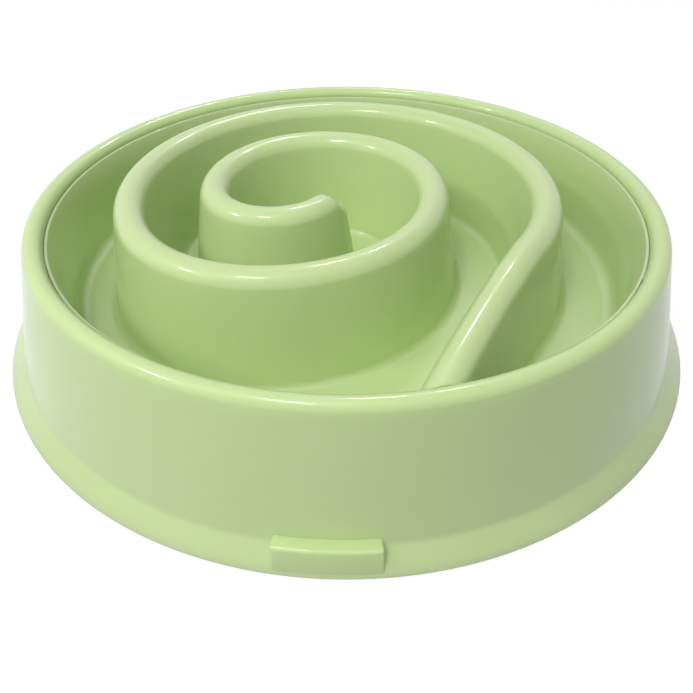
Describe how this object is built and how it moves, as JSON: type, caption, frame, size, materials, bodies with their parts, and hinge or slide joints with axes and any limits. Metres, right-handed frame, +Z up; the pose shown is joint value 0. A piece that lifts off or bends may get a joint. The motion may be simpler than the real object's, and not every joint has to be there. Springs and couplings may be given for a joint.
{
  "type": "slow feeder bowl",
  "caption": "Round pet bowl with a leaning skirt, rolled rim and a lift-out dish whose tall spiral ridge slows down eating.",
  "frame": {"origin": "centre of the bowl, on the plane its feet stand on", "axes": "+Z up out of the bowl, -Y towards the block on the front of the flare, +X to the right"},
  "size_m": [0.28, 0.28, 0.0602],
  "materials": {
    "shell_plastic": "glossy moulded plastic",
    "dish_plastic": "glossy moulded plastic",
    "foot_rubber": "matt soft rubber"
  },
  "bodies": {
    "shell": {"base_shell": "shell_plastic", "foot_1": "foot_rubber", "foot_2": "foot_rubber", "foot_3": "foot_rubber", "foot_4": "foot_rubber", "foot_5": "foot_rubber", "foot_6": "foot_rubber"},
    "dish": {"dish_pan": "dish_plastic", "ridge_tail": "dish_plastic", "ridge_ring": "dish_plastic", "ridge_lead": "dish_plastic", "ridge_front": "dish_plastic", "ridge_loop": "dish_plastic", "ridge_eye": "dish_plastic"}
  },
  "joints": [
    {"name": "dish_lift", "type": "slide", "parent": "shell", "child": "dish", "axis": [0, 0, 1], "range_m": [0, 0.06]}
  ]
}
